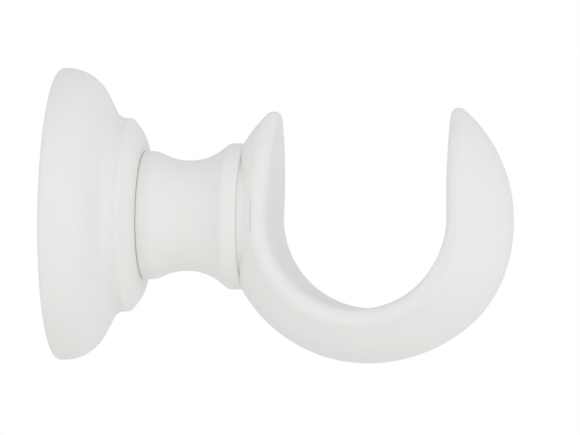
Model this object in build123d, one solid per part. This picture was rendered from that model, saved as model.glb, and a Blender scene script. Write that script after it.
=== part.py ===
from build123d import *
from math import sqrt
import os

# Cup bracket for a curtain pole, in painted turned wood. The base screws to the wall, and the arm
# (neck, dowels and cup) unscrews from it on a hanger bolt. Sizes are in millimetres.
# Origin: centre of the base's back face. +X points out of the wall, +Y along the pole, +Z up.

# Base
base_radius = 44.2
base_depth = 26.0
bead_radius = 29.25            # the small step in front of the big ovolo
ovolo_corner = 10.1            # X where the ovolo's crown and its slope would meet
cove_corner = 17.8             # X where the slope and the bead would meet
bead_front = 22.1
face_radius = 24.4             # radius where the front step would meet the front face
base_rounds = [1.5, 13, 5, 1, 8]

# Wall screw holes, above and below the centre, under the neck's foot
screw_offset = 11.8
screw_hole_radius = 2.3
screw_sink_radius = 4.2

# Threaded insert in the base and the hanger bolt that holds the arm (M8, pitch 1.25)
insert_radius = 6.0
insert_length = 14.0
insert_recess = 1.0
insert_bore_radius = 3.95
insert_slot = (1.6, 1.8)       # width and depth of the driver slot
bolt_thread_radius = 3.9
bolt_wood_radius = 4.0
bolt_engaged = 13.0            # length inside the insert
bolt_in_neck = 18.0
bolt_tip_length = 3.0
bolt_tip_radius = 1.0
bolt_chamfer = 0.6
hole_spare = 1.0               # spare depth at the end of a blind hole

# Washer between base and neck
washer_radius = 15.6
washer_hole_radius = 4.3
washer_thickness = 0.5

# Neck
foot_radius = 19.35
foot_front = 30.1              # X where the foot's crown and the cove would meet
cove_bottom = (42.5, 13.65)    # where the cove's two slopes would meet
collar_back = 52.3
collar_front = 57.0
collar_radius = 22.1
shoulder_back = 19.0           # radius of the shoulder where it leaves the collar's front
shoulder_front = (61.4, 22.1)  # far enough out to be coped away by the cup
neck_rounds = [1.0, 6, 17, 2.8, 1.0, 1.3, 0.3]

# Cup
bore_radius = 27.5             # seats a 50 mm pole
cup_centre = 93.5              # X of the pole's axis
cup_radius = 44.0
cup_offset = 1.0               # the outside is turned about an axis this much further out
cup_width = 46.0
wall_depth = 16.5              # radial depth of the section
lip_width = 4.9                # flat band beside the bore, before the bevel
crown_width = 21.4             # where the bevels would meet the crown
bevel_round = 2.5
crown_round = 22.0
tip_radius = 2.0

# Dowels between neck and cup
dowel_radius = 3.0
dowel_length = 22.0
dowel_back = 39.5
dowel_offset = 9.5
dowel_chamfer = 0.6

# Screw that locks the pole, backed off to the end of its travel
pole_screw_hole_radius = 1.8
pole_screw_radius = 1.72
pole_screw_head = (3.4, 2.0)   # radius and height
pole_screw_length = 14.0       # under the head
pole_screw_tip = -27.8         # Z of the point
pole_screw_point = 3.0
pole_screw_point_radius = 0.2
pole_screw_recess = (0.8, 3.2, 1.2)  # width, span and depth of the cross
head_hole_radius = 4.0
head_seat = -36.5              # Z of the counterbore's floor

washer_front = base_depth + washer_thickness
insert_front = base_depth - insert_recess
bolt_start = insert_front - bolt_engaged
bolt_end = washer_front + bolt_in_neck
outer_centre = cup_centre + cup_offset


def turned(points, rounds):
    """Solid turned about X from an outline of (x, radius) points, with its corners rounded."""
    outline = FilletPolyline(*points, radius=rounds)
    axis_line = Line(points[-1], points[0])
    return revolve(make_face([*outline.edges(), axis_line.edge()]), Axis.X)


def rod_x(radius, start, end, z=0.0):
    """Cylinder along X from one X to another, at a height."""
    rod = Cylinder(radius, end - start, align=(Align.CENTER, Align.CENTER, Align.MIN))
    return Pos(start, 0, z) * Rot(0, 90, 0) * rod


def cone_x(radius_start, radius_end, start, end, z=0.0):
    """Cone along X, from one radius to another, at a height."""
    cone = Cone(radius_start, radius_end, end - start, align=(Align.CENTER, Align.CENTER, Align.MIN))
    return Pos(start, 0, z) * Rot(0, 90, 0) * cone


def rod_y(radius, x, z=0.0):
    """Cylinder along Y, longer than the cup is wide."""
    return Pos(x, 0, z) * Rot(90, 0, 0) * Cylinder(radius, cup_width * 2)


def make_rosette():
    body = turned(
        [
            (0, 0),
            (0, base_radius),
            (ovolo_corner, base_radius),
            (cove_corner, bead_radius),
            (bead_front, bead_radius),
            (base_depth, face_radius),
            (base_depth, 0),
        ],
        base_rounds,
    )
    body -= rod_x(insert_radius, insert_front - insert_length, base_depth)
    sink_depth = screw_sink_radius - screw_hole_radius
    for z in (-screw_offset, screw_offset):
        body -= rod_x(screw_hole_radius, 0, base_depth, z)
        body -= cone_x(screw_hole_radius, screw_sink_radius, base_depth - sink_depth, base_depth, z)
    return body


def make_threaded_insert():
    body = rod_x(insert_radius, insert_front - insert_length, insert_front)
    body -= rod_x(insert_bore_radius, insert_front - insert_length, insert_front)
    width, depth = insert_slot
    return body - Pos(insert_front, 0, 0) * Box(2 * depth, 3 * insert_radius, width)


def make_friction_washer():
    disc = rod_x(washer_radius, base_depth, washer_front)
    return disc - rod_x(washer_hole_radius, base_depth, washer_front)


def make_hanger_bolt():
    machine_end = rod_x(bolt_thread_radius, bolt_start, washer_front)
    wood_end = rod_x(bolt_wood_radius, washer_front, bolt_end - bolt_tip_length)
    point = cone_x(bolt_wood_radius, bolt_tip_radius, bolt_end - bolt_tip_length, bolt_end)
    bolt = machine_end + wood_end + point
    return chamfer(bolt.edges().sort_by(Axis.X)[0], bolt_chamfer)


def dowel_holes():
    """Both dowel holes, with spare depth for glue at each end."""
    start, end = dowel_back - hole_spare, dowel_back + dowel_length + hole_spare
    return [rod_x(dowel_radius, start, end, z) for z in (-dowel_offset, dowel_offset)]


def cup_blank():
    """Ring with a bevelled section, before its mouth is cut. Its seam is at the top, in the mouth."""
    flank = cup_radius - wall_depth
    inner = bore_radius - 2 * cup_offset
    half, crown = cup_width / 2, crown_width / 2
    outline = FilletPolyline(
        (inner, half),
        (flank + lip_width, half),
        (cup_radius, crown),
        (cup_radius, -crown),
        (flank + lip_width, -half),
        (inner, -half),
        radius=[bevel_round, crown_round, crown_round, bevel_round],
    )
    section = make_face([*outline.edges(), Line((inner, -half), (inner, half)).edge()])
    ring = Pos(outer_centre, 0, 0) * Rot(0, -90, 0) * revolve(section, Axis.Y)
    return ring - rod_y(bore_radius, cup_centre)


def make_neck():
    body = turned(
        [
            (washer_front, 0),
            (washer_front, foot_radius),
            (foot_front, foot_radius),
            cove_bottom,
            (collar_back, collar_radius),
            (collar_front, collar_radius),
            (collar_front, shoulder_back),
            shoulder_front,
            (shoulder_front[0], 0),
        ],
        neck_rounds,
    )
    body -= cup_blank()
    body -= rod_x(bolt_wood_radius, washer_front, bolt_end + hole_spare)
    for hole in dowel_holes():
        body -= hole
    return body


def make_dowel(z):
    dowel = rod_x(dowel_radius, dowel_back, dowel_back + dowel_length, z)
    return chamfer(dowel.edges().filter_by(GeomType.CIRCLE), dowel_chamfer)


def tip_offcut(side):
    """What comes off a tip to round it: side is -1 at the wall, 1 at the far arm."""
    wall = cup_centre + side * bore_radius
    centre_x = wall + side * tip_radius
    centre_z = sqrt((cup_radius - tip_radius) ** 2 - (centre_x - outer_centre) ** 2)
    reach = cup_radius / (cup_radius - tip_radius)
    on_wall = (wall, centre_z)
    on_outside = (outer_centre + (centre_x - outer_centre) * reach, centre_z * reach)
    crest = (centre_x, centre_z + tip_radius)
    inner_corner = (wall - side * tip_radius, centre_z)
    top_corner = (wall - side * tip_radius, cup_radius)
    outer_corner = (on_outside[0] + side * tip_radius, cup_radius)
    outline = [
        ThreePointArc(on_outside, crest, on_wall),
        Line(on_wall, inner_corner),
        Line(inner_corner, top_corner),
        Line(top_corner, outer_corner),
        Line(outer_corner, on_outside),
    ]
    face = Rot(90, 0, 0) * make_face([line.edge() for line in outline])
    return extrude(face, cup_width, both=True)


def make_cup():
    mouth = Pos(cup_centre, 0, cup_radius) * Box(2 * bore_radius, 2 * cup_width, 2 * cup_radius)
    body = cup_blank() - mouth
    for side in (-1, 1):
        body -= tip_offcut(side)
    for hole in dowel_holes():
        body -= hole
    shank_hole = Cylinder(pole_screw_hole_radius, wall_depth, align=(Align.CENTER, Align.CENTER, Align.MIN))
    counterbore = Cylinder(head_hole_radius, wall_depth, align=(Align.CENTER, Align.CENTER, Align.MAX))
    return body - Pos(cup_centre, 0, head_seat) * (shank_hole + counterbore)


def make_pole_screw():
    head_radius, head_height = pole_screw_head
    under_head = pole_screw_tip - pole_screw_length
    up = (Align.CENTER, Align.CENTER, Align.MIN)
    shank_length = pole_screw_length - pole_screw_point
    shank = Cylinder(pole_screw_radius, shank_length, align=up)
    point = Cone(pole_screw_radius, pole_screw_point_radius, pole_screw_point, align=up)
    head = Pos(0, 0, under_head - head_height) * Cylinder(head_radius, head_height, align=up)
    head = fillet(head.edges().sort_by(Axis.Z)[0], head_height / 2)
    width, span, depth = pole_screw_recess
    for turn in (0, 90):
        head -= Pos(0, 0, under_head - head_height) * Rot(0, 0, turn) * Box(width, span, 2 * depth)
    screw = head + Pos(0, 0, under_head) * shank + Pos(0, 0, under_head + shank_length) * point
    return Pos(cup_centre, 0, 0) * screw


parts = {
    "rosette": make_rosette(),
    "threaded_insert": make_threaded_insert(),
    "friction_washer": make_friction_washer(),
    "hanger_bolt": make_hanger_bolt(),
    "neck": make_neck(),
    "dowel_upper": make_dowel(dowel_offset),
    "dowel_lower": make_dowel(-dowel_offset),
    "cup": make_cup(),
    "pole_screw": make_pole_screw(),
}

os.makedirs("parts", exist_ok=True)
for name, shape in parts.items():
    export_step(shape, f"parts/{name}.step")
    print(f"{name:16s} {shape.volume / 1000:8.2f} cm3")
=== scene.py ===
import math
import bmesh
import bpy
import numpy as np
from mathutils import Matrix, Vector


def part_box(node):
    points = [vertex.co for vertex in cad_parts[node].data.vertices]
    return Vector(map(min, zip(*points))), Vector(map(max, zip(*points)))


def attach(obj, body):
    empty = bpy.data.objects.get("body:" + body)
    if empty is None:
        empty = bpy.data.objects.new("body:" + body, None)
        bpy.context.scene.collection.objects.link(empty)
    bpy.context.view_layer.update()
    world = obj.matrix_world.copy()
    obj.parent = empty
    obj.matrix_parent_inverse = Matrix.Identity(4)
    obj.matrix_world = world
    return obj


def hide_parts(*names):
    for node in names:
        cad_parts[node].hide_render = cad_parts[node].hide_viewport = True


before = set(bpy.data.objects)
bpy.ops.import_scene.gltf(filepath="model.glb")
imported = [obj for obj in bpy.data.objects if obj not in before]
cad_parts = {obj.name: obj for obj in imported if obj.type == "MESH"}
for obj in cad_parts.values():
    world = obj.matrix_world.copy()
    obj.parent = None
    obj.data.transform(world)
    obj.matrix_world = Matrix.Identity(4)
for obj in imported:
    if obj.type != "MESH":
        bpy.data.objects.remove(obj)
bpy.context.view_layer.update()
mm = 0.001
print("frame loaded:", len(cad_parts), "nodes")


# ---- meshes from grids

def roundedOutline(corners, radii, steps=12):
    # Straight runs from corner to corner. Each inner corner gives way to an arc that touches both runs,
    # starting radius / tan(half the corner's angle) short of it and sweeping round the arc's own centre.
    corners = np.array(corners, float)
    pieces = [corners[:1]]
    for before, corner, after, radius in zip(corners, corners[1:], corners[2:], radii):
        if radius == 0:
            pieces.append(corner[None])
            continue
        towards = (before - corner) / np.linalg.norm(before - corner)
        away = (after - corner) / np.linalg.norm(after - corner)
        half = np.arccos(np.clip(towards @ away, -1, 1)) / 2
        centre = corner + (towards + away) / np.linalg.norm(towards + away) * radius / np.sin(half)
        first = corner + towards * radius / np.tan(half) - centre
        last = corner + away * radius / np.tan(half) - centre
        start = np.arctan2(first[1], first[0])
        sweep = (np.arctan2(last[1], last[0]) - start + np.pi) % (2 * np.pi) - np.pi
        angle = start + sweep * np.linspace(0, 1, steps)
        pieces.append(centre + radius * np.stack([np.cos(angle), np.sin(angle)], -1))
    return np.vstack([*pieces, corners[-1:]])


def densePoints(outline, spacing):
    # Each run is divided evenly into as many parts as keep it under the spacing.
    pieces = []
    for start, end in zip(outline, outline[1:]):
        parts = max(1, math.ceil(np.linalg.norm(end - start) / spacing))
        pieces.append(start + (end - start) * np.arange(parts)[:, None] / parts)
    return np.vstack([*pieces, outline[-1:]])


def turnedRows(outline, around):
    # A point (x, radius) becomes the ring (x, radius * cos(angle), radius * sin(angle)).
    angle = np.arange(around) * 2 * np.pi / around
    along, radius = outline[:, :1], outline[:, 1:]
    return np.stack([along + 0 * angle, radius * np.cos(angle), radius * np.sin(angle)], -1)


def skin(name, rows, loop=False):
    # Quads between neighbouring rings. A loop joins the last ring to the first; otherwise the first
    # and last rings are single points, each closed by a fan of triangles.
    count, around = rows.shape[:2]
    this = np.arange(around)
    after = np.roll(this, -1)
    if loop:
        points = rows.reshape(-1, 3)
        start = np.arange(count)[:, None] * around
        end = np.roll(start, -1, axis=0)
        fans = []
    else:
        points = np.vstack([rows[0, :1], rows[1:-1].reshape(-1, 3), rows[-1, :1]])
        start = 1 + np.arange(count - 3)[:, None] * around
        end = start + around
        last = len(points) - 1
        lastRing = last - around
        fans = [
            np.stack([0 * this, 1 + after, 1 + this], -1).tolist(),
            np.stack([0 * this + last, lastRing + this, lastRing + after], -1).tolist(),
        ]
    quads = np.stack([start + this, start + after, end + after, end + this], -1).reshape(-1, 4).tolist()
    mesh = bpy.data.meshes.new(name)
    mesh.from_pydata((points * mm).tolist(), [], quads + sum(fans, []))
    piece = bpy.data.objects.new(name, mesh)
    bpy.context.scene.collection.objects.link(piece)
    turnOutwards(mesh)
    return piece


def turnOutwards(mesh):
    # Every face is wound so that its normal leaves the closed form.
    work = bmesh.new()
    work.from_mesh(mesh)
    bmesh.ops.recalc_face_normals(work, faces=work.faces)
    work.to_mesh(mesh)
    work.free()


def cutAway(piece, cutters):
    # Takes the cutters out of the piece and keeps their material on the cut faces.
    for cutter in cutters:
        cut = piece.modifiers.new("cut", "BOOLEAN")
        cut.operation = "DIFFERENCE"
        cut.solver = "EXACT"
        cut.material_mode = "TRANSFER"
        cut.object = cutter
        whole = piece.evaluated_get(bpy.context.evaluated_depsgraph_get())
        mesh = bpy.data.meshes.new_from_object(whole)
        piece.modifiers.clear()
        piece.data = mesh
        bpy.data.objects.remove(cutter)


def showWood(piece, radius, low=-np.inf, high=np.inf):
    # A face takes the piece's second material where its furthest corner is within the radius of the
    # turning axis and its middle is between the two places along that axis.
    mesh = piece.data
    places = np.empty(3 * len(mesh.vertices), np.float32)
    middles = np.empty(3 * len(mesh.polygons), np.float32)
    firsts = np.empty(len(mesh.polygons), np.int32)
    corners = np.empty(len(mesh.loops), np.int32)
    mesh.vertices.foreach_get("co", places)
    mesh.polygons.foreach_get("center", middles)
    mesh.polygons.foreach_get("loop_start", firsts)
    mesh.loops.foreach_get("vertex_index", corners)
    fromAxis = np.hypot(*places.reshape(-1, 3)[:, 1:].T)
    furthest = np.maximum.reduceat(fromAxis[corners], firsts)
    along = middles[::3]
    bare = (furthest < radius * mm) & (along > low * mm) & (along < high * mm)
    mesh.polygons.foreach_set("material_index", bare.astype(np.int32))


def finishPiece(piece, body, nodes, edgeAngle=35):
    # Smooth, except along edges that turn by more than the angle, and handed to the frame.
    piece.data.shade_smooth()
    piece.data.set_sharp_from_angle(angle=math.radians(edgeAngle))
    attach(piece, body)
    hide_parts(*nodes)
    print(piece.name, len(piece.data.polygons), "faces")


# ---- finishes

def newFinish(name, roughness, metallic=0.0):
    # A material with its shader's constant values set, and the place on the object to vary it by.
    finish = bpy.data.materials.new(name)
    finish.use_nodes = True
    nodes = finish.node_tree.nodes
    shader = nodes["Principled BSDF"]
    shader.inputs["Roughness"].default_value = roughness
    shader.inputs["Metallic"].default_value = metallic
    place = nodes.new("ShaderNodeTexCoord")
    return finish, nodes, finish.node_tree.links, shader, place.outputs["Object"]


def noiseAt(nodes, links, place, scale, stretch=(1, 1, 1), detail=4.0):
    # Noise whose features are 1 / scale metres across, drawn out along an axis where stretch is small.
    mapping = nodes.new("ShaderNodeMapping")
    mapping.inputs["Scale"].default_value = stretch
    noise = nodes.new("ShaderNodeTexNoise")
    noise.inputs["Scale"].default_value = scale
    noise.inputs["Detail"].default_value = detail
    links.new(place, mapping.inputs["Vector"])
    links.new(mapping.outputs["Vector"], noise.inputs["Vector"])
    return noise.outputs["Fac"]


def blended(nodes, links, factor, dark, light, low=0.3, high=0.7):
    # Runs from one colour to the other as the factor goes from low to high.
    ramp = nodes.new("ShaderNodeValToRGB")
    ramp.color_ramp.elements[0].position = low
    ramp.color_ramp.elements[1].position = high
    ramp.color_ramp.elements[0].color = (*dark, 1)
    ramp.color_ramp.elements[1].color = (*light, 1)
    links.new(factor, ramp.inputs["Fac"])
    return ramp.outputs["Color"]


def ranged(nodes, links, factor, low, high):
    # low + (high - low) * factor
    span = nodes.new("ShaderNodeMapRange")
    span.inputs["To Min"].default_value = low
    span.inputs["To Max"].default_value = high
    links.new(factor, span.inputs["Value"])
    return span.outputs["Result"]


def raised(nodes, links, shader, layers):
    # Stacks bumps: each layer is a height from 0 to 1 and its depth in metres.
    normal = None
    for height, depth in layers:
        bump = nodes.new("ShaderNodeBump")
        bump.inputs["Strength"].default_value = 1
        bump.inputs["Distance"].default_value = depth
        links.new(height, bump.inputs["Height"])
        if normal:
            links.new(normal, bump.inputs["Normal"])
        normal = bump.outputs["Normal"]
    links.new(normal, shader.inputs["Normal"])


paint = {
    "dark": (0.828, 0.820, 0.806),
    "light": (0.848, 0.840, 0.826),
    "roughness": (0.40, 0.50),
    "grainDepth": 0.010 * mm,
    "peelDepth": 0.006 * mm,
}


def satinPaint(name, grain):
    # White satin paint over wood: slow drifts of tone, faint grain showing through along one axis,
    # and the fine ripple of a sprayed coat.
    finish, nodes, links, shader, place = newFinish(name, paint["roughness"][0])
    drift = noiseAt(nodes, links, place, 28, detail=3)
    fibres = noiseAt(nodes, links, place, 420, grain, detail=5)
    ripple = noiseAt(nodes, links, place, 650, detail=2)
    links.new(blended(nodes, links, drift, paint["dark"], paint["light"]), shader.inputs["Base Color"])
    links.new(ranged(nodes, links, drift, *paint["roughness"]), shader.inputs["Roughness"])
    raised(nodes, links, shader, [(fibres, paint["grainDepth"]), (ripple, paint["peelDepth"])])
    return finish


def bareWood(name, grain):
    # Pale beech: long fibres light and dark, with short flecks.
    finish, nodes, links, shader, place = newFinish(name, 0.65)
    fibres = noiseAt(nodes, links, place, 500, grain, detail=6)
    flecks = noiseAt(nodes, links, place, 1500, grain, detail=2)
    colour = blended(nodes, links, fibres, (0.42, 0.26, 0.14), (0.66, 0.47, 0.29))
    links.new(colour, shader.inputs["Base Color"])
    raised(nodes, links, shader, [(fibres, 0.05 * mm), (flecks, 0.03 * mm)])
    return finish


def turnedMetal(name, dark, light, roughness, streak):
    # Machined or plated metal: streaks across the turning axis, and a blotchy bloom over them.
    finish, nodes, links, shader, place = newFinish(name, roughness[0], 1.0)
    streaks = noiseAt(nodes, links, place, 900, streak, detail=3)
    bloom = noiseAt(nodes, links, place, 220, detail=4)
    links.new(blended(nodes, links, bloom, dark, light), shader.inputs["Base Color"])
    links.new(ranged(nodes, links, bloom, *roughness), shader.inputs["Roughness"])
    raised(nodes, links, shader, [(streaks, 0.006 * mm)])
    return finish


def fibreSheet(name):
    # Dark pressed fibre: a mottled felt of short fibres.
    finish, nodes, links, shader, place = newFinish(name, 0.75)
    mottle = noiseAt(nodes, links, place, 700, detail=6)
    felt = noiseAt(nodes, links, place, 2600, detail=3)
    colour = blended(nodes, links, mottle, (0.035, 0.032, 0.03), (0.10, 0.09, 0.08))
    links.new(colour, shader.inputs["Base Color"])
    raised(nodes, links, shader, [(felt, 0.02 * mm)])
    return finish


acrossFace = (1, 1, 0.07)          # grain up and down the face
alongSpindle = (0.07, 1, 1)        # grain along the neck
rosettePaint = satinPaint("rosette_paint", acrossFace)
neckPaint = satinPaint("neck_paint", alongSpindle)
cupPaint = satinPaint("cup_paint", acrossFace)
drilledWood = bareWood("drilled_wood", acrossFace)
neckWood = bareWood("neck_wood", alongSpindle)
dowelWood = bareWood("dowel_wood", alongSpindle)
zincSteel = turnedMetal("zinc_steel", (0.52, 0.53, 0.55), (0.70, 0.71, 0.72), (0.24, 0.38), alongSpindle)
insertBrass = turnedMetal("insert_brass", (0.62, 0.46, 0.20), (0.83, 0.66, 0.34), (0.22, 0.34), (6, 0.2, 0.2))
washerFibre = fibreSheet("washer_fibre")
print("finishes made:", len(bpy.data.materials))


# ---- rosette

rosette = {
    "radius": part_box("rosette")[1][2] / mm,
    "depth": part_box("rosette")[1][0] / mm,
    "bead": 29.25,
    "ovoloCorner": 10.1,
    "coveCorner": 17.8,
    "beadFront": 22.1,
    "faceCorner": 24.4,
    "rounds": [1.5, 13, 5, 1, 8],
    "pocket": 6.0,
    "pocketFloor": 11.0,
    "screwOffset": 11.8,
    "screwHole": 2.3,
    "screwSink": 4.2,
    "around": 224,
}


def makeRosette(size):
    # One outline turned round the axis: a flat back, an ovolo, a cove, a bead, a smaller ovolo and the
    # pocket for the insert. Each screw hole widens evenly from its own radius to the countersink's.
    depth, radius = size["depth"], size["radius"]
    outline = roundedOutline(
        [
            (0, 0),
            (0, radius),
            (size["ovoloCorner"], radius),
            (size["coveCorner"], size["bead"]),
            (size["beadFront"], size["bead"]),
            (depth, size["faceCorner"]),
            (depth, size["pocket"]),
            (size["pocketFloor"], size["pocket"]),
            (size["pocketFloor"], 0),
        ],
        [*size["rounds"], 0.25, 0],
    )
    piece = skin("rosette_turned", turnedRows(densePoints(outline, 0.9), size["around"]))
    piece.data.materials.append(rosettePaint)
    piece.data.materials.append(drilledWood)
    showWood(piece, size["pocket"] + 0.01, low=size["pocketFloor"] - 1)
    sink = size["screwSink"] - size["screwHole"]
    hole = np.array([
        (-1, 0),
        (-1, size["screwHole"]),
        (depth - sink, size["screwHole"]),
        (depth + 1, size["screwSink"] + 1),
        (depth + 1, 0),
    ])
    cutters = []
    for height in (-size["screwOffset"], size["screwOffset"]):
        cutter = skin("hole", turnedRows(hole, 40) + np.array([0, 0, height]))
        cutter.data.materials.append(drilledWood)
        cutters.append(cutter)
    cutAway(piece, cutters)
    finishPiece(piece, "base", ["rosette"])
    return piece


rosetteTurned = makeRosette(rosette)


# ---- threads

def tooth(turns):
    # One tooth per whole turn: 1 on its crest, 0 in the root, with straight flanks between.
    wave = np.abs(2 * (turns % 1) - 1)
    return np.clip(1.5 * wave - 0.3, 0, 1)


def threadedRows(along, root, depth, pitch, around):
    # The radius is the root plus the depth where a tooth stands, and a tooth moves along by one pitch
    # in each turn, right-handed. Root, depth and pitch are one value each or one for each ring.
    angle = np.arange(around) * 2 * np.pi / around
    root, depth, pitch = (np.broadcast_to(value, along.shape)[:, None] for value in (root, depth, pitch))
    radius = root + depth * tooth(along[:, None] / pitch - angle / (2 * np.pi))
    return np.stack([along[:, None] + 0 * angle, radius * np.cos(angle), radius * np.sin(angle)], -1)


insert = {
    "back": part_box("threaded_insert")[0][0] / mm,
    "front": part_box("threaded_insert")[1][0] / mm,
    "bore": 3.42,
    "boreDepth": 0.6,
    "pitch": 1.25,
    "body": 5.1,
    "knife": 0.85,
    "knifePitch": 2.5,
    "slotWidth": 1.6,
    "slotDepth": 1.8,
    "around": 64,
}


def makeInsert(size):
    # A coarse knife thread outside, fading out within 1.2 of each end, and the machine thread inside,
    # joined end to end. The driver's slot is cut across the front.
    back, front = size["back"], size["front"]
    outside = np.linspace(back, front, 72)
    inside = np.linspace(front, back, 120)
    fade = np.clip(np.minimum(outside - back, front - outside) / 1.2, 0, 1)
    rows = np.concatenate([
        threadedRows(outside, size["body"], size["knife"] * fade, size["knifePitch"], size["around"]),
        threadedRows(inside, size["bore"], size["boreDepth"], size["pitch"], size["around"]),
    ])
    piece = skin("insert_brass", rows, loop=True)
    piece.data.materials.append(insertBrass)
    slot = bpy.data.meshes.new("slot")
    work = bmesh.new()
    bmesh.ops.create_cube(work, size=1)
    extent = Vector((2 * size["slotDepth"], 20, size["slotWidth"])) * mm
    place = Matrix.Translation((front * mm, 0, 0)) @ Matrix.Diagonal(extent).to_4x4()
    bmesh.ops.transform(work, matrix=place, verts=work.verts)
    work.to_mesh(slot)
    work.free()
    cutter = bpy.data.objects.new("slot", slot)
    cutter.data.materials.append(insertBrass)
    bpy.context.scene.collection.objects.link(cutter)
    cutAway(piece, [cutter])
    finishPiece(piece, "base", ["threaded_insert"], 30)
    return piece


insertPiece = makeInsert(insert)


hangerBolt = {
    "tip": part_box("hanger_bolt")[0][0] / mm,
    "seam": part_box("friction_washer")[1][0] / mm,
    "point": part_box("hanger_bolt")[1][0] / mm,
    "machine": (3.3, 0.57, 1.25),      # root radius, depth and pitch
    "wood": (2.7, 1.25, 3.0),
    "around": 48,
}


def makeBolt(size):
    # Machine thread up to the seam, a short plain part, then a wood thread whose root and depth both
    # shrink to the point over its last 5.
    tip, seam, point = size["tip"], size["seam"], size["point"]
    machine = np.linspace(tip, seam, 150)
    wood = np.linspace(seam + 0.8, point, 130)
    rootM, depthM, pitchM = size["machine"]
    rootW, depthW, pitchW = size["wood"]
    started = np.clip((machine - tip) / 0.9, 0, 1)
    taper = np.clip((point - wood) / 5.0, 0.02, 1)
    entering = np.clip((wood - seam - 0.8) / 1.5, 0, 1)
    rows = np.concatenate([
        threadedRows(np.array([tip]), 0, 0, 1, size["around"]),
        threadedRows(machine, rootM - 0.5 * (1 - started), depthM * started, pitchM, size["around"]),
        threadedRows(np.array([seam + 0.05, seam + 0.75]), rootM + depthM, 0, 1, size["around"]),
        threadedRows(wood, rootW * taper**0.6, depthW * taper * entering, pitchW, size["around"]),
        threadedRows(np.array([point]), 0, 0, 1, size["around"]),
    ])
    piece = skin("bolt_hanger", rows)
    piece.data.materials.append(zincSteel)
    finishPiece(piece, "arm", ["hanger_bolt"], 40)
    return piece


boltHanger = makeBolt(hangerBolt)


# ---- washer

washer = {
    "back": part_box("friction_washer")[0][0] / mm,
    "front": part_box("friction_washer")[1][0] / mm,
    "radius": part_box("friction_washer")[1][2] / mm,
    "hole": 4.3,
    "round": 0.15,
}


def makeWasher(size):
    # A rectangle with rounded corners, from the hole to the outer radius, turned round the axis.
    back, front, radius, hole = (size[key] for key in ("back", "front", "radius", "hole"))
    middle = (radius + hole) / 2
    corners = [(back, middle), (back, radius), (front, radius), (front, hole), (back, hole), (back, middle)]
    outline = densePoints(roundedOutline(corners, [size["round"]] * 4, 5), 1.0)
    piece = skin("washer_fibre", turnedRows(outline[:-1], 144), loop=True)
    piece.data.materials.append(washerFibre)
    finishPiece(piece, "washer", ["friction_washer"])
    return piece


washerPiece = makeWasher(washer)


# ---- cup

cup = {
    "bore": 27.3,
    "closing": 0.033,               # how much each wall of the mouth leans in, for each unit of height
    "centre": 93.5,
    "outerCentre": 94.5,
    "radius": 43.75,
    "swell": (0.9, -35.0, 24.0),    # height of a slight swelling, the angle it is at and its spread
    "crown": 10.7,                  # half the width of the crown, where the bevels would meet it
    "bevel": math.radians(46.75),   # how far the bevels' normals lean out from the pole's axis
    "crownRound": 22.0,
    "lipRound": 3.3,
    "tipRound": 2.0,
    "tipBlend": (4.0, 13.0),        # distances across between which the edge goes from tip to lip round
    "stations": (56, 190),          # on each arm, and round the lower half
    "around": (120, 48),            # across the outside, and across the channel
    "screwHole": 1.8,
    "headHole": 4.0,
    "headSeat": -36.5,
}


def roundedMeet(first, second, radius):
    # Two surfaces, each given as its signed distance and its normal, meet in a round. The round's
    # centre lies one radius inside both. Where the way out from that centre falls between the two
    # normals, the distance is taken from the centre; elsewhere the further surface decides.
    (farA, normalA), (farB, normalB) = first, second
    cosine = (normalA * normalB).sum(-1)
    sineSquared = np.maximum(1 - cosine**2, 1e-6)
    inA, inB = farA + radius, farB + radius
    shareA = (inA - inB * cosine) / sineSquared
    shareB = (inB - inA * cosine) / sineSquared
    length = np.sqrt(np.maximum(shareA**2 + shareB**2 + 2 * shareA * shareB * cosine, 1e-12))
    between = (shareA > 0) & (shareB > 0)
    mixed = (shareA[..., None] * normalA + shareB[..., None] * normalB) / length[..., None]
    further = np.where((farA > farB)[..., None], normalA, normalB)
    distance = np.where(between, length - radius, np.maximum(farA, farB))
    return distance, np.where(between[..., None], mixed, further)


def ringOutside(x, y, z, size):
    # A flat crown at the full radius, which swells slightly round one angle, and a bevel on each side
    # that runs down to the lips.
    away = x - size["outerCentre"]
    spoke = np.hypot(away, z)
    height, middle, spread = size["swell"]
    radius = size["radius"] + height * np.exp(-(((np.degrees(np.arctan2(z, away)) - middle) / spread) ** 2))
    flat = 0 * x
    lean, rise = math.sin(size["bevel"]), math.cos(size["bevel"])
    crown = spoke - radius, np.stack([away / spoke, flat, z / spoke], -1)
    bevelFar = (spoke - radius) * lean + (np.abs(y) - size["crown"]) * rise
    bevel = bevelFar, np.stack([away / spoke * lean, np.sign(y) * rise, z / spoke * lean], -1)
    return roundedMeet(crown, bevel, size["crownRound"])


def cupDistance(x, y, z, size):
    # The wood is outside the bore (a circle below the pole's axis, two walls that close in slightly
    # above it) and inside the ring. Where the two meet, the edge is rounded, a little less at the tips.
    away, below = x - size["centre"], np.minimum(z, 0)
    spoke = np.hypot(away, below)
    inwards = -np.stack([away, 0 * x, below], -1) / spoke[..., None]
    bore = size["bore"] - size["closing"] * np.maximum(z, 0) - spoke, inwards
    low, high = size["tipBlend"]
    rise = np.clip((np.abs(y) - low) / (high - low), 0, 1)
    edge = size["tipRound"] + (size["lipRound"] - size["tipRound"]) * rise * rise * (3 - 2 * rise)
    return roundedMeet(bore, ringOutside(x, y, z, size), edge)[0]


def deepest(baseZ, wayX, wayZ, size):
    # The point of each station, on the middle line, that lies deepest in the wood.
    reach = np.linspace(size["bore"] - 2, size["radius"] + 2, 700)
    x = size["centre"] + reach * wayX[:, None]
    z = baseZ[:, None] + reach * wayZ[:, None]
    depth = cupDistance(x, 0 * x, z, size)
    best = depth.argmin(1)
    return reach[best], depth[np.arange(len(best)), best]


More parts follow.
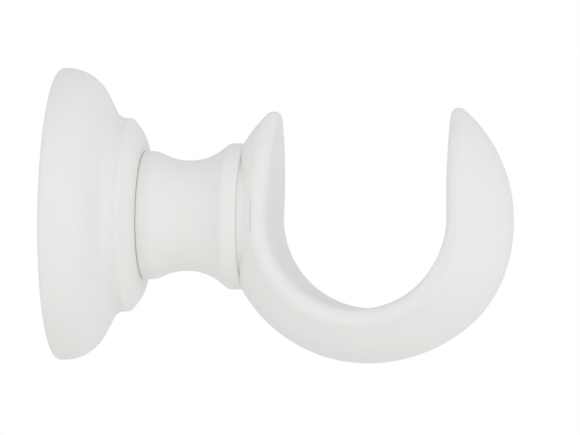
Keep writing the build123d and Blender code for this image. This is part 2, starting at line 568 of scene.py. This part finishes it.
def tipHeight(side, size):
    # Halves the gap between a height that is in the wood and one above it.
    low, high = 20.0, 40.0
    for _ in range(40):
        middle = (low + high) / 2
        _, depth = deepest(np.array([middle]), np.array([side]), np.array([0.0]), size)
        low, high = (middle, high) if depth[0] < 0 else (low, middle)
    return low


def cupRows(size):
    # Stations go down the wall-side arm, round the bottom and up the far arm. At each one, rays leave
    # the deepest point, crowded towards the two lips, and are cut where the distance reaches zero.
    armCount, roundCount = size["stations"]
    fall = np.sin(np.linspace(np.pi / 2, 0, armCount, endpoint=False))
    angle = np.linspace(np.pi, 2 * np.pi, roundCount)
    left, right = tipHeight(-1.0, size), tipHeight(1.0, size)
    baseZ = np.concatenate([left * fall, 0 * angle, right * fall[::-1]])
    wayX = np.concatenate([-1 + 0 * fall, np.cos(angle), 1 + 0 * fall])
    wayZ = np.concatenate([0 * fall, np.sin(angle), 0 * fall])
    middle, _ = deepest(baseZ, wayX, wayZ, size)
    wallX = size["centre"] + size["bore"] * wayX
    wallZ = baseZ + size["bore"] * wayZ
    bevelled = size["radius"] - np.hypot(wallX - size["outerCentre"], wallZ)
    corner = size["crown"] + bevelled * math.tan(size["bevel"])
    lipAcross = np.maximum(corner - 1.6 * size["lipRound"], 3)
    lip = (np.pi - np.arctan2(lipAcross, middle - size["bore"] - 0.6 * size["lipRound"]))[:, None]
    outside, channel = size["around"]
    crowdOut = np.sin(np.pi / 2 * np.linspace(-1, 1, outside, endpoint=False))
    crowdIn = np.sin(np.pi / 2 * np.linspace(-1, 1, channel, endpoint=False))
    ray = np.concatenate([lip * crowdOut, np.pi + (np.pi - lip) * crowdIn], 1)
    near, far = 0 * ray, 0 * ray + 25.0

    def at(length):
        reach = middle[:, None] + length * np.cos(ray)
        x = size["centre"] + reach * wayX[:, None]
        return x, length * np.sin(ray), baseZ[:, None] + reach * wayZ[:, None]

    for _ in range(45):
        half = (near + far) / 2
        inside = cupDistance(*at(half), size) < 0
        near, far = np.where(inside, half, near), np.where(inside, far, half)
    return np.stack(at(near), -1)


def makeCup(size):
    # The ring, with an upright stepped hole for the pole screw: wide for the head up to its seat, and
    # narrow from there into the channel.
    piece = skin("cup_ring", cupRows(size))
    piece.data.materials.append(cupPaint)
    bottom = -size["radius"] - 1
    hole = np.array([
        (bottom, 0),
        (bottom, size["headHole"]),
        (size["headSeat"], size["headHole"]),
        (size["headSeat"], size["screwHole"]),
        (-size["bore"] + 2, size["screwHole"]),
        (-size["bore"] + 2, 0),
    ])
    upright = np.roll(turnedRows(hole, 48), -1, axis=-1) + np.array([size["centre"], 0, 0])
    cutter = skin("hole", upright)
    cutter.data.materials.append(drilledWood)
    cutAway(piece, [cutter])
    finishPiece(piece, "arm", ["cup"])
    return piece


cupRing = makeCup(cup)


# ---- neck

neck = {
    "back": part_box("neck")[0][0] / mm,
    "rim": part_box("rosette")[1][0] / mm + 0.04,
    "recess": 15.9,                 # radius of the washer's recess
    "foot": 19.35,
    "footFront": 30.1,
    "coveBottom": (42.5, 13.65),
    "collarBack": 52.3,
    "collarFront": 57.0,
    "collar": 22.1,
    "shoulderBack": 19.0,
    "shoulderFront": (61.4, 22.1),
    "rounds": [0.5, 6, 17, 2.8, 1.0, 1.3],
    "boltHole": 4.02,
    "boltHoleEnd": 45.5,
    "bite": 0.08,                   # how far the cope sits into the cup's paint
    "around": 224,
}


def makeNeck(size, ring):
    # Turned as far as the shoulder, then closed by a cap. Beyond the bolt's hole, every point that
    # would lie inside the cup is moved back to the cup's outside: the ring's radius, less the drop of
    # its crown round and bevel at that distance across, swept round the ring's centre.
    back, front, collar = size["back"], size["collarFront"], size["collar"]
    shoulder, shoulderRadius = size["shoulderFront"]
    outline = roundedOutline(
        [
            (size["boltHoleEnd"], 0),
            (size["boltHoleEnd"], size["boltHole"]),
            (back, size["boltHole"]),
            (back, size["recess"]),
            (size["rim"], size["recess"]),
            (size["rim"], size["foot"]),
            (size["footFront"], size["foot"]),
            size["coveBottom"],
            (size["collarBack"], collar),
            (front, collar),
            (front, size["shoulderBack"]),
            (shoulder, shoulderRadius),
        ],
        [0, 0.2, 0, 0.1, *size["rounds"]],
        14,
    )
    side = turnedRows(densePoints(outline, 0.8), size["around"])
    radius = np.linspace(shoulderRadius - 0.3, 0, 60)
    cap = turnedRows(np.stack([0 * radius + shoulder, radius], -1), size["around"])
    rows = np.concatenate([side, cap])
    across, z = np.abs(rows[..., 1]), rows[..., 2]
    bevel, turn = ring["bevel"], ring["crownRound"]
    roundStart = ring["crown"] - turn * math.tan(math.pi / 4 - bevel / 2)
    inRound = np.clip(across - roundStart, 0, turn * math.cos(bevel))
    drop = turn - np.sqrt(turn**2 - inRound**2)
    drop += np.maximum(across - roundStart - turn * math.cos(bevel), 0) / math.tan(bevel)
    crown = ring["radius"] - drop
    copeX = ring["outerCentre"] - np.sqrt(np.maximum(crown**2 - z**2, 0)) + size["bite"]
    rows[..., 0] = np.minimum(rows[..., 0], np.where(rows[..., 0] > size["boltHoleEnd"] + 1, copeX, np.inf))
    piece = skin("neck_turned", rows)
    piece.data.materials.append(neckPaint)
    piece.data.materials.append(neckWood)
    showWood(piece, size["boltHole"] + 0.25, high=size["boltHoleEnd"] + 1)
    finishPiece(piece, "arm", ["neck"])
    return piece


neckTurned = makeNeck(neck, cup)


# ---- dowels

dowel = {
    "back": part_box("dowel_upper")[0][0] / mm,
    "front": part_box("dowel_upper")[1][0] / mm,
    "radius": 3.0,
    "chamfer": 0.6,
    "flutes": 18,
    "fluteDepth": 0.16,
}


def makeDowel(name, node, size):
    # Grooved along its length: the radius dips by the flute's depth, flutes times round.
    back, front, radius, chamfer = (size[key] for key in ("back", "front", "radius", "chamfer"))
    height = sum(corner[2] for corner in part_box(node)) / 2 / mm
    outline = np.array([
        (back, 0),
        (back, radius - chamfer),
        (back + chamfer, radius),
        (front - chamfer, radius),
        (front, radius - chamfer),
        (front, 0),
    ])
    rows = turnedRows(densePoints(outline, 1.5), size["flutes"] * 8)
    angle = np.arctan2(rows[..., 2], rows[..., 1])
    groove = size["fluteDepth"] * (0.5 + 0.5 * np.cos(size["flutes"] * angle)) ** 2
    rows[..., 1:] *= 1 - (groove / radius)[..., None]
    piece = skin(name, rows + np.array([0, 0, height]))
    piece.data.materials.append(dowelWood)
    finishPiece(piece, "arm", [node], 50)
    return piece


dowels = [makeDowel("dowel_" + end + "_beech", "dowel_" + end, dowel) for end in ("upper", "lower")]


# ---- pole screw

poleScrew = {
    "centre": cup["centre"],
    "foot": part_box("pole_screw")[0][2] / mm,
    "tip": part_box("pole_screw")[1][2] / mm,
    "head": (3.4, 2.0),              # radius and height
    "crown": 0.55,                   # how far the head's face bulges
    "recess": (1.9, 0.42, 1.3),      # reach, half width and depth of the cross
    "neck": 1.72,                    # radius of the plain part under the head
    "root": 1.15,
    "thread": 0.55,
    "pitch": 1.3,
    "point": 3.0,
    "around": 96,
}


def makePoleScrew(size):
    # A pan head whose face is a shallow dome with a cross sunk into it, a shank, and a wood thread
    # that runs down to the point.
    foot, tip, around = size["foot"], size["tip"], size["around"]
    headRadius, headHeight = size["head"]
    angle = np.arange(around) * 2 * np.pi / around
    radius = np.concatenate([np.linspace(0, 2.3, 42), np.linspace(2.4, headRadius - 0.35, 8)])[:, None]
    reach, width, depth = size["recess"]
    u, v = np.abs(radius * np.cos(angle)), np.abs(radius * np.sin(angle))
    arm = np.clip((width - np.minimum(u, v)) / 0.12, 0, 1) * np.clip((reach - np.maximum(u, v)) / 0.5, 0, 1)
    dome = size["crown"] * (radius / headRadius) ** 2
    face = np.stack([foot + dome + depth * arm, radius * np.cos(angle), radius * np.sin(angle)], -1)
    rim = roundedOutline(
        [
            (foot + size["crown"] * 0.85, headRadius - 0.3),
            (foot + size["crown"] * 1.1, headRadius),
            (foot + headHeight, headRadius),
            (foot + headHeight, size["neck"]),
            (foot + headHeight + 3, size["neck"]),
        ],
        [0.3, 0.1, 0.25],
        5,
    )
    along = np.linspace(foot + headHeight + 3.2, tip, 120)
    taper = np.clip((tip - along) / size["point"], 0.02, 1)
    shank = threadedRows(along, size["root"] * taper**0.7, size["thread"] * taper, size["pitch"], around)
    point = threadedRows(np.array([tip]), 0, 0, 1, around)
    rows = np.concatenate([face, turnedRows(densePoints(rim, 0.8), around), shank, point])
    upright = np.roll(rows, -1, axis=-1) + np.array([size["centre"], 0, 0])
    piece = skin("screw_pole", upright)
    piece.data.materials.append(zincSteel)
    finishPiece(piece, "pole_lock", ["pole_screw"], 40)
    return piece


screwPole = makePoleScrew(poleScrew)


# ---- stage, light and camera

stage = {
    "floorHeight": -0.40,
    "floorRadius": 0.45,
    "floorColour": (0.90, 0.90, 0.89, 1),
    "sky": (1.0, 1.0, 1.0, 1),
    "brightWay": (0.40, -0.66, -0.64),   # where the room is brightest
    "brightest": 1.09,
    "dimmest": 0.72,
}

camera = {
    "azimuth": 7.8,
    "roll": 0.85,
    "distance": 4.0,
    "target": (0.0706, 0.0, -0.0001),
    "width": 0.1752,                 # how much of the object's plane the picture spans
}


def makeFloor(size):
    # A plain pale disc, well below the bracket.
    mesh = bpy.data.meshes.new("floor")
    work = bmesh.new()
    bmesh.ops.create_circle(work, cap_ends=True, radius=size["floorRadius"], segments=96)
    work.to_mesh(mesh)
    work.free()
    mesh.transform(Matrix.Translation((0, 0, size["floorHeight"])))
    floor = bpy.data.objects.new("floor", mesh)
    bpy.context.scene.collection.objects.link(floor)
    plain = bpy.data.materials.new("floor_plain")
    plain.use_nodes = True
    plain.node_tree.nodes["Principled BSDF"].inputs["Base Color"].default_value = size["floorColour"]
    plain.node_tree.nodes["Principled BSDF"].inputs["Roughness"].default_value = 0.9
    mesh.materials.append(plain)


def makeSky(size):
    # White to the camera. As light, it rises evenly from the dimmest to the brightest way.
    world = bpy.data.worlds.new("studio")
    world.use_nodes = True
    nodes, links = world.node_tree.nodes, world.node_tree.links
    nodes.clear()
    place = nodes.new("ShaderNodeTexCoord")
    towards = nodes.new("ShaderNodeVectorMath")
    towards.operation = "DOT_PRODUCT"
    towards.inputs[1].default_value = Vector(size["brightWay"]).normalized()
    span = nodes.new("ShaderNodeMapRange")
    span.inputs["From Min"].default_value = -1
    span.inputs["From Max"].default_value = 1
    span.inputs["To Min"].default_value = size["dimmest"]
    span.inputs["To Max"].default_value = size["brightest"]
    lit, seen = nodes.new("ShaderNodeBackground"), nodes.new("ShaderNodeBackground")
    lit.inputs["Color"].default_value = size["sky"]
    seen.inputs["Color"].default_value = size["sky"]
    path = nodes.new("ShaderNodeLightPath")
    mix = nodes.new("ShaderNodeMixShader")
    output = nodes.new("ShaderNodeOutputWorld")
    links.new(place.outputs["Generated"], towards.inputs[0])
    links.new(towards.outputs["Value"], span.inputs["Value"])
    links.new(span.outputs["Result"], lit.inputs["Strength"])
    links.new(path.outputs["Is Camera Ray"], mix.inputs["Fac"])
    links.new(lit.outputs["Background"], mix.inputs[1])
    links.new(seen.outputs["Background"], mix.inputs[2])
    links.new(mix.outputs["Shader"], output.inputs["Surface"])
    bpy.context.scene.world = world


def softBox(name, place, target, side, power):
    # A square light of the given side, turned so that its face looks from its place to the target.
    light = bpy.data.lights.new(name, "AREA")
    light.shape = "SQUARE"
    light.size = side
    light.energy = power
    lamp = bpy.data.objects.new(name, light)
    lamp.location = place
    lamp.rotation_mode = "QUATERNION"
    lamp.rotation_quaternion = (Vector(target) - Vector(place)).to_track_quat("-Z", "Y")
    bpy.context.scene.collection.objects.link(lamp)


def makeCamera(size):
    # Stands back from the target by the distance, turned by the azimuth from straight on. The lens is
    # the sensor's width * distance / the width that the picture spans.
    azimuth, target = math.radians(size["azimuth"]), Vector(size["target"])
    back = Vector((math.sin(azimuth), -math.cos(azimuth), 0))
    lens = bpy.data.cameras.new("camera")
    lens.sensor_width = 36
    lens.lens = lens.sensor_width * size["distance"] / size["width"]
    lens.clip_end = 50
    eye = bpy.data.objects.new("camera", lens)
    eye.location = target + back * size["distance"]
    eye.rotation_mode = "QUATERNION"
    roll = Matrix.Rotation(math.radians(size["roll"]), 4, "Z").to_quaternion()
    eye.rotation_quaternion = (-back).to_track_quat("-Z", "Y") @ roll
    bpy.context.scene.collection.objects.link(eye)
    bpy.context.scene.camera = eye


makeFloor(stage)
makeSky(stage)
softBox("key", (0.5, -1.3, 0.5), (0.06, 0, 0), 1.2, 0.3)
makeCamera(camera)
bpy.context.scene.view_settings.view_transform = "Standard"
print("stage, light and camera set")
